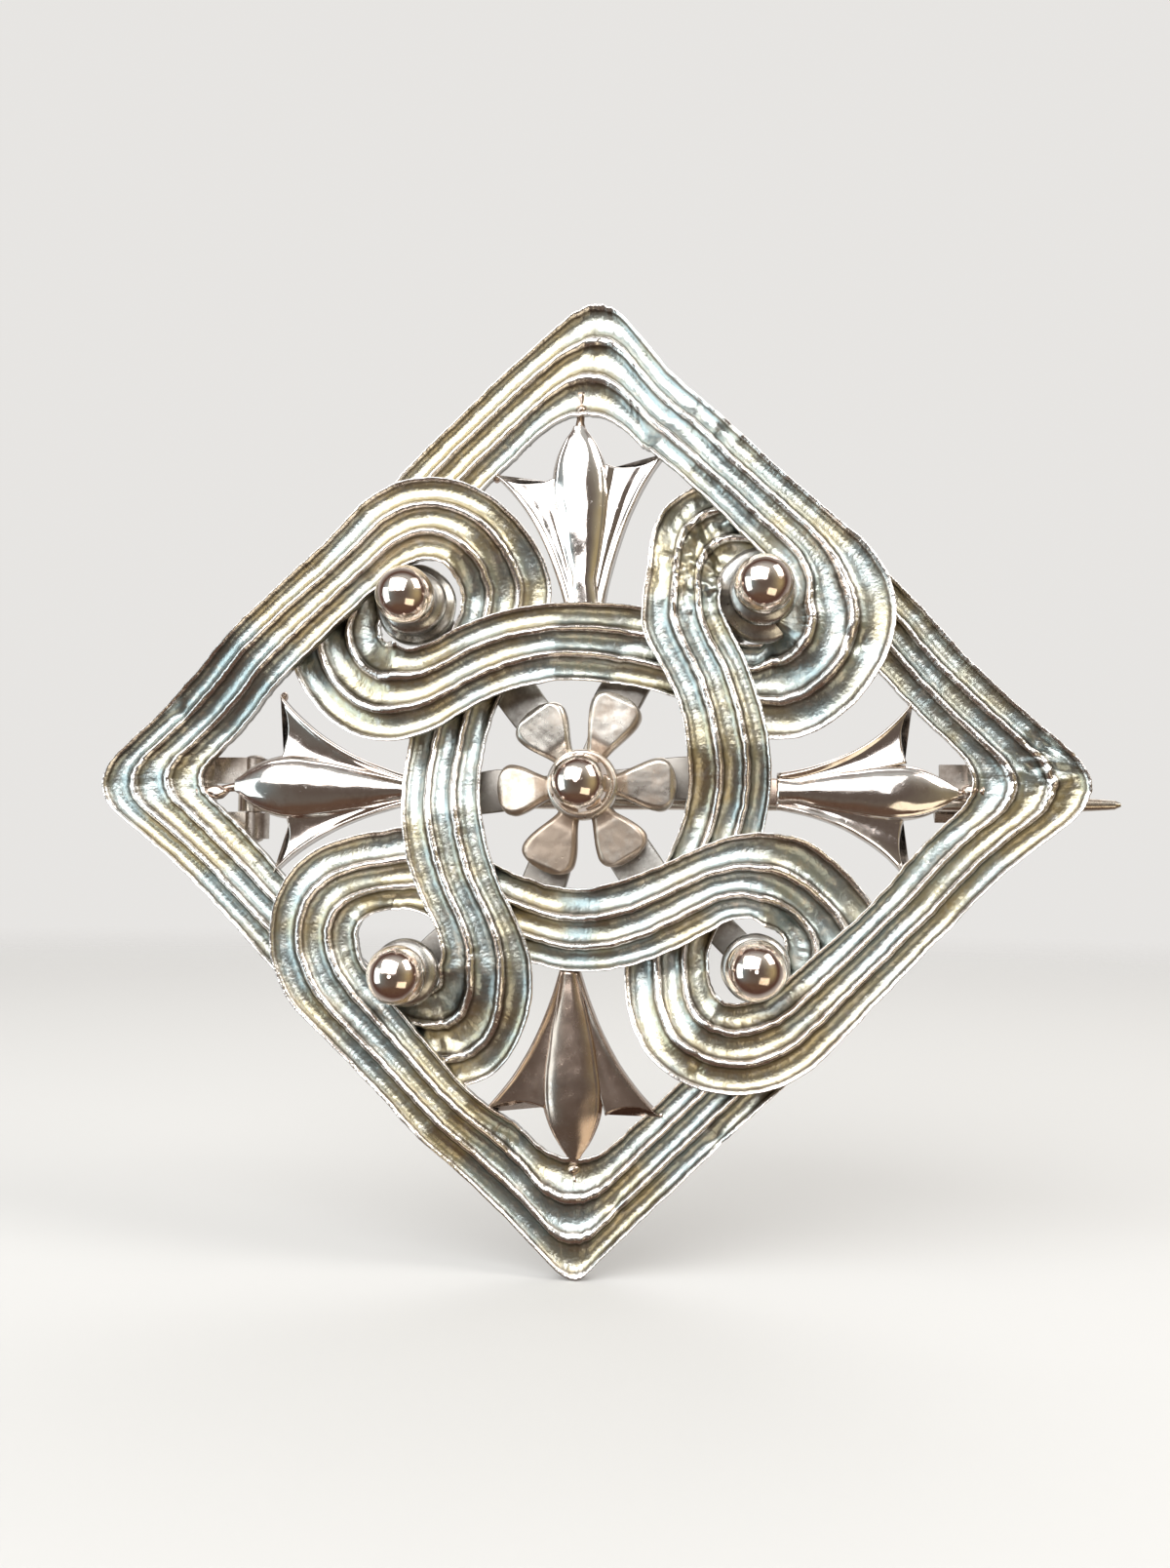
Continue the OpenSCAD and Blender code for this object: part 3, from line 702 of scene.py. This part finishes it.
# ---------------------------------------------------------------------------------------------
# Materials
# ---------------------------------------------------------------------------------------------
class Nodes:
    """A short way to write a node tree."""

    def __init__(self, name):
        self.material = bpy.data.materials.new(name)
        self.material.use_nodes = True
        self.tree = self.material.node_tree
        self.shader = self.tree.nodes["Principled BSDF"]
        self.coords = self.tree.nodes.new("ShaderNodeTexCoord").outputs["Object"]

    def new(self, kind, **inputs):
        node = self.tree.nodes.new(kind)
        for key, value in inputs.items():
            self.set(node, key.replace("_", " "), value)
        return node

    def set(self, node, key, value):
        socket = node.inputs[key]
        if isinstance(value, bpy.types.NodeSocket):
            self.tree.links.new(value, socket)
        else:
            socket.default_value = value

    def attribute(self, name):
        node = self.tree.nodes.new("ShaderNodeAttribute")
        node.attribute_name = name
        return node.outputs["Fac"]

    def noise(self, size, detail=3.0, roughness=0.5, vector=None):
        """Noise whose bumps are about size millimetres wide."""
        node = self.new("ShaderNodeTexNoise", Scale=1 / (size * MM), Detail=detail, Roughness=roughness)
        self.tree.links.new(vector or self.coords, node.inputs["Vector"])
        return node.outputs["Fac"]

    def maths(self, operation, a, b=0.0, c=0.0):
        node = self.tree.nodes.new("ShaderNodeMath")
        node.operation = operation
        for i, value in enumerate((a, b, c)):
            if isinstance(value, bpy.types.NodeSocket):
                self.tree.links.new(value, node.inputs[i])
            else:
                node.inputs[i].default_value = value
        return node.outputs[0]

    def step(self, value, low, high, out_low=0.0, out_high=1.0):
        node = self.tree.nodes.new("ShaderNodeMapRange")
        node.interpolation_type = "SMOOTHSTEP"
        for key, v in (("From Min", low), ("From Max", high), ("To Min", out_low), ("To Max", out_high)):
            node.inputs[key].default_value = v
        self.tree.links.new(value, node.inputs["Value"])
        return node.outputs["Result"]

    def blend(self, factor, a, b):
        node = self.tree.nodes.new("ShaderNodeMix")
        node.data_type = "RGBA"
        for i, value in ((0, factor), (6, a), (7, b)):
            if isinstance(value, bpy.types.NodeSocket):
                self.tree.links.new(value, node.inputs[i])
            else:
                node.inputs[i].default_value = (*value, 1.0) if i else value
        return node.outputs[2]

    def bump(self, height, strength, distance):
        node = self.new("ShaderNodeBump", Strength=strength, Distance=distance * MM)
        self.tree.links.new(height, node.inputs["Height"])
        self.tree.links.new(node.outputs["Normal"], self.shader.inputs["Normal"])


def strap_silver():
    """Cast and hand-finished silver: oxide left in the flutes, painted shade along the foot of each ridge,
    ridges rubbed bright, fine scratches.
    """
    n = Nodes("strap_silver")
    worn, across, along = n.attribute("worn"), n.attribute("across"), n.attribute("along")
    patches, grime = n.noise(4.5, 3.0), n.noise(0.45, 5.0, 0.6)
    lengthwise, crosswise = n.maths("MULTIPLY", along, 6.0), n.maths("MULTIPLY", across, 0.7)
    stretched = n.new("ShaderNodeCombineXYZ", X=lengthwise, Y=crosswise).outputs[0]
    scratches = n.new("ShaderNodeTexNoise", Vector=stretched, Scale=1.0, Detail=4.0).outputs["Fac"]
    bright = n.step(n.maths("ADD", worn, n.maths("MULTIPLY_ADD", grime, 0.7, -0.35)), 0.15, 0.75)
    oxide_and_shade = n.blend(n.step(patches, 0.42, 0.6), (0.50, 0.56, 0.55), (0.62, 0.55, 0.38))
    oxide_and_shade = n.blend(n.step(grime, 0.45, 0.75), oxide_and_shade, (0.72, 0.70, 0.63))
    # Painted shade: a dark band along the foot of each ridge and on the strap's lower sides, blended into the
    # oxide colour
    ridge_foot_shade = n.maths("MULTIPLY", n.step(worn, 0.0, 0.14, 0.0, 0.85), n.step(worn, 0.3, 0.5, 1.0, 0.0))
    oxide_and_shade = n.blend(ridge_foot_shade, oxide_and_shade, (0.15, 0.12, 0.09))
    colour = n.blend(bright, oxide_and_shade, (0.94, 0.89, 0.85))
    n.set(n.shader, "Base Color", colour)
    n.set(n.shader, "Metallic", 1.0)
    smooth = n.step(bright, 0.0, 1.0, 0.33, 0.20)
    n.set(n.shader, "Roughness", n.maths("ADD", smooth, n.maths("MULTIPLY_ADD", scratches, 0.2, -0.1)))
    relief = n.maths("ADD", n.maths("MULTIPLY", scratches, 0.5), n.noise(0.16, 3.0))
    relief = n.maths("MULTIPLY_ADD", n.noise(0.5, 2.0), 1.2, relief)
    n.bump(relief, 0.5, 0.045)
    return n.material


def polished_silver(name, bright, tarnish, rough, grain, uses_wear):
    """Polished silver with a warm tarnish in patches, hair scratches and small pits."""
    n = Nodes(name)
    patches, specks = n.noise(1.6, 4.0, 0.6), n.noise(0.22, 4.0, 0.65)
    stretched = n.new("ShaderNodeMapping", Rotation=(0.3, 0.7, 0.5), Scale=(1.0, 9.0, 1.0))
    n.set(stretched, "Vector", n.coords)
    hairs = n.noise(0.5, 5.0, 0.6, stretched.outputs[0])
    cover = n.maths("MULTIPLY_ADD", patches, 0.8, n.maths("MULTIPLY", specks, 0.35))
    if uses_wear:
        cover = n.maths("ADD", cover, n.maths("MULTIPLY_ADD", n.attribute("worn"), -0.5, 0.3))
    # The warm rose cast in the bright colour of the leaves, petals, beads and pin is a painted reflection
    colour = n.blend(n.step(cover, 0.42, 0.78), bright, tarnish)
    n.set(n.shader, "Base Color", colour)
    n.set(n.shader, "Metallic", 1.0)
    base = n.step(cover, 0.4, 0.8, rough, rough + 0.16)
    n.set(n.shader, "Roughness", n.maths("ADD", base, n.maths("MULTIPLY_ADD", hairs, 0.14, -0.07)))
    relief = n.maths("ADD", n.maths("MULTIPLY", hairs, 0.5), n.step(specks, 0.62, 0.8, 0.0, -0.8))
    n.bump(relief, grain, 0.025)
    return n.material


# ---------------------------------------------------------------------------------------------
# The stage: floor, lights, world and camera
# ---------------------------------------------------------------------------------------------
PALE = (0.80, 0.785, 0.765)
# What polished metal sees of the dim room, by direction
ROOM_LEFT, ROOM_RIGHT = (0.20, 0.29, 0.33), (0.40, 0.33, 0.18)
ROOM_LOW, ROOM_TOP = (0.13, 0.08, 0.055), (0.48, 0.49, 0.48)
ROOM_BEHIND_CAMERA = (0.12, 0.095, 0.08)
ROOM_AROUND = (0.10, 0.055, 0.042)
ROOM_BEHIND_BROOCH = (0.56, 0.55, 0.53)
# The floor's radius and where it fades into the background, in metres, and its gap below the brooch
FLOOR_RADIUS, FADE_FROM, FADE_TO = 0.6, 0.08, 0.5
FLOOR_GAP = 0.05 * MM
# The photograph looks at the face from a hand's breadth away, a little right of and below its middle
CAMERA_PLACE = Vector((7.52, -70.1, -5.12)) * MM
CAMERA_TARGET = Vector((0.245, 0.0, -0.2)) * MM
CAMERA_ROLL, CAMERA_LENS = radians(0.75), 31.34
# Soft boxes and windows: place, size across and up in metres, radiance and tint
LIGHTS = {
    "key": ((-0.11, -0.31, 0.205), 0.44, 0.35, 3.8, (0.96, 0.985, 1.0)),
    "window": ((0.30, -0.14, 0.26), 0.16, 0.26, 5.0, (1.0, 0.98, 0.94)),
    "left": ((-0.34, -0.16, -0.02), 0.16, 0.30, 2.2, (0.80, 0.94, 1.0)),
    "low": ((0.16, -0.22, -0.20), 0.20, 0.14, 1.2, (1.0, 0.88, 0.66)),
    "back": ((0.05, 0.25, 0.30), 0.25, 0.25, 1.5, (1.0, 1.0, 1.0)),
}


def camera():
    data = bpy.data.cameras.new("camera")
    data.sensor_width = 36
    data.lens = CAMERA_LENS
    data.clip_start, data.clip_end = 0.001, 50
    obj = bpy.data.objects.new("camera", data)
    look = (CAMERA_TARGET - CAMERA_PLACE).to_track_quat("-Z", "Y").to_matrix()
    turn = (look @ Matrix.Rotation(CAMERA_ROLL, 3, "Z")).to_4x4()
    obj.matrix_world = Matrix.Translation(CAMERA_PLACE) @ turn
    bpy.context.scene.collection.objects.link(obj)
    bpy.context.scene.camera = obj


def floor():
    low = cad_box[0].z - FLOOR_GAP
    steps = 96
    radii = np.geomspace(0.02, FLOOR_RADIUS, 14)
    angles = 2 * pi * np.arange(steps) / steps
    points = [(r * cos(a), r * sin(a), low) for r in radii for a in angles]
    mesh = bpy.data.meshes.new("floor")
    mesh.from_pydata(points, [], grid_faces(len(radii), steps, close_cols=True) + [list(range(steps))[::-1]])
    obj = bpy.data.objects.new("floor", mesh)
    bpy.context.scene.collection.objects.link(obj)
    n = Nodes("floor_pale")
    n.set(n.shader, "Base Color", (0.60, 0.59, 0.575, 1.0))
    n.set(n.shader, "Roughness", 0.7)
    distance = n.tree.nodes.new("ShaderNodeVectorMath")
    distance.operation = "LENGTH"
    n.tree.links.new(n.coords, distance.inputs[0])
    n.set(n.shader, "Alpha", n.step(distance.outputs["Value"], FADE_FROM, FADE_TO, 1.0, 0.0))
    obj.data.materials.append(n.material)
    obj.visible_glossy = False


def soft_box(name, place, across, up, radiance, tint):
    """A rectangular light that faces the brooch."""
    data = bpy.data.lights.new(name, "AREA")
    data.shape = "RECTANGLE"
    data.size, data.size_y = across, up
    data.energy, data.color = pi * radiance * across * up, tint
    obj = bpy.data.objects.new(name, data)
    obj.location = place
    obj.rotation_mode = "QUATERNION"
    obj.rotation_quaternion = (-Vector(place)).to_track_quat("-Z", "Y")
    bpy.context.scene.collection.objects.link(obj)


class Sky:
    """The world's node tree: colours that change with direction."""

    def __init__(self, name):
        self.world = bpy.data.worlds.new(name)
        self.world.use_nodes = True
        self.tree = self.world.node_tree
        self.tree.nodes.clear()
        coords = self.tree.nodes.new("ShaderNodeTexCoord")
        self.direction = self.tree.nodes.new("ShaderNodeSeparateXYZ")
        self.tree.links.new(coords.outputs["Generated"], self.direction.inputs[0])

    def share(self, axis, low, high):
        """From 0 to 1 as the direction's part along an axis goes from low to high."""
        node = self.tree.nodes.new("ShaderNodeMapRange")
        node.inputs["From Min"].default_value = low
        node.inputs["From Max"].default_value = high
        self.tree.links.new(self.direction.outputs[axis], node.inputs["Value"])
        return node.outputs["Result"]

    def set(self, socket, colour):
        if isinstance(colour, tuple):
            socket.default_value = (*colour, 1)
        else:
            self.tree.links.new(colour, socket)

    def shade(self, factor, a, b):
        node = self.tree.nodes.new("ShaderNodeMix")
        node.data_type = "RGBA"
        self.tree.links.new(factor, node.inputs[0])
        self.set(node.inputs[6], a)
        self.set(node.inputs[7], b)
        return node.outputs[2]

    def background(self, colour):
        node = self.tree.nodes.new("ShaderNodeBackground")
        self.set(node.inputs["Color"], colour)
        return node.outputs[0]


def world():
    """The camera and the floor see a pale room. Polished metal sees a dim one, lighter above than below."""
    sky = Sky("studio")
    bpy.context.scene.world = sky.world
    sides = sky.shade(sky.share("X", -0.9, 0.9), ROOM_LEFT, ROOM_RIGHT)
    floor_to_walls = sky.shade(sky.share("Z", -0.75, -0.1), ROOM_LOW, sides)
    walls_to_top = sky.shade(sky.share("Z", 0.1, 0.8), floor_to_walls, ROOM_TOP)
    facing = sky.shade(sky.share("Y", -0.95, -0.55), ROOM_BEHIND_CAMERA, walls_to_top)
    around = sky.shade(sky.share("Y", -0.42, -0.08), facing, ROOM_AROUND)
    behind = sky.shade(sky.share("Y", 0.02, 0.5), around, ROOM_BEHIND_BROOCH)
    path = sky.tree.nodes.new("ShaderNodeLightPath")
    choose = sky.tree.nodes.new("ShaderNodeMixShader")
    out = sky.tree.nodes.new("ShaderNodeOutputWorld")
    sky.tree.links.new(path.outputs["Is Glossy Ray"], choose.inputs[0])
    sky.tree.links.new(sky.background(PALE), choose.inputs[1])
    sky.tree.links.new(sky.background(behind), choose.inputs[2])
    sky.tree.links.new(choose.outputs[0], out.inputs["Surface"])


camera()
world()
floor()
for name, light in LIGHTS.items():
    soft_box(name, *light)
bpy.context.scene.view_settings.view_transform = "Standard"

# ---------------------------------------------------------------------------------------------
# The pieces, each in place of its CAD node
# ---------------------------------------------------------------------------------------------
# Per side: its turn, how far the corner's rounding reaches on the strap's inside and outside, and how far the
# strap spreads into the eye on its left and on its right
SIDES = {
    "top": (0, 3.9, 1.7, 0.95, 1.85), "left": (90, 1.7, 2.3, 0.75, 0.3),
    "bottom": (180, 3.3, 1.3, 0.95, 0.5), "right": (270, 2.4, 2.4, 0.7, 0.45),
}
# Per finish: bright colour, tarnish, roughness, grain, and whether the mesh carries its wear. The warm rose
# cast in the bright colours of the leaves, petals, beads and pin is a painted reflection of warm
# surroundings.
FINISHES = {
    "leaf_silver": ((0.90, 0.83, 0.78), (0.60, 0.47, 0.39), 0.10, 0.22, True),
    "petal_silver": ((0.84, 0.79, 0.72), (0.56, 0.45, 0.36), 0.26, 0.45, True),
    "bead_silver": ((0.97, 0.84, 0.75), (0.72, 0.50, 0.39), 0.10, 0.20, True),
    "finding_silver": ((0.68, 0.66, 0.62), (0.34, 0.31, 0.28), 0.24, 0.40, True),
    "hinge_silver": ((0.72, 0.66, 0.60), (0.40, 0.33, 0.28), 0.22, 0.35, False),
    "pin_metal": ((0.84, 0.77, 0.68), (0.50, 0.40, 0.31), 0.16, 0.30, False),
}
# The back's CAD nodes are kept as they are, with a finer finish
BACK_PIECES = {
    "hinge_silver": (
        "hinge_plate", "catch_plate", "hinge_knuckle_upper", "hinge_knuckle_lower", "hinge_rivet",
        "catch_hook",
    ),
    "pin_metal": ("pin_knuckle", "pin_stem"),
}
CENTRE_BEAD_R, CENTRE_BEAD_SEAT = 1.48, 1.7
BEVEL_W = 0.07 * MM


def place_piece(obj, nodes, material):
    obj.data.materials.append(material)
    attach(obj, "brooch")
    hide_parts(nodes)


def refinish(piece, material):
    """A CAD piece with a better material and slightly rounded edges."""
    piece.data.materials.clear()
    piece.data.materials.append(material)
    bevel = piece.modifiers.new("rounded edges", "BEVEL")
    bevel.width, bevel.segments = BEVEL_W, 3
    bevel.limit_method, bevel.angle_limit = "ANGLE", radians(40)


finishes = {name: polished_silver(name, *finish) for name, finish in FINISHES.items()}
silver_straps = strap_silver()
for seed, (side, (turn, *corner_and_spread)) in enumerate(SIDES.items()):
    strap = strap_loop(f"strap_{side}", turn, seed + 1, *corner_and_spread)
    place_piece(strap, f"strap_loop_{side}", silver_straps)
    leafy = palmette(f"palmette_leaves_{side}", turn, PALMETTES[side], seed * 10 + 50)
    place_piece(leafy, f"palmette_{side}", finishes["leaf_silver"])

for seed, (eye, (turn, out, left, skirt)) in enumerate(EYES.items()):
    post = bead_post(f"post_{eye}", turn, out, left, skirt, seed + 70)
    place_piece(post, f"bead_post_{eye}", finishes["finding_silver"])
    ball = bead(f"ball_{eye}", turn, (EYE_R + out, left, BEAD_SEAT), BEAD_R, seed + 80)
    place_piece(ball, f"bead_{eye}", finishes["bead_silver"])

place_piece(rosette(), "rosette", finishes["petal_silver"])
place_piece(bridge(), "rosette_bridge", finishes["finding_silver"])
centre_place = ROSETTE_PLACE + [0, 0, CENTRE_BEAD_SEAT]
centre_ball = bead("ball_centre", 0, centre_place, CENTRE_BEAD_R, 90)
place_piece(centre_ball, "rosette_bead", finishes["bead_silver"])

for finish, names in BACK_PIECES.items():
    for name in names:
        refinish(frame["nodes"][name], finishes[finish])
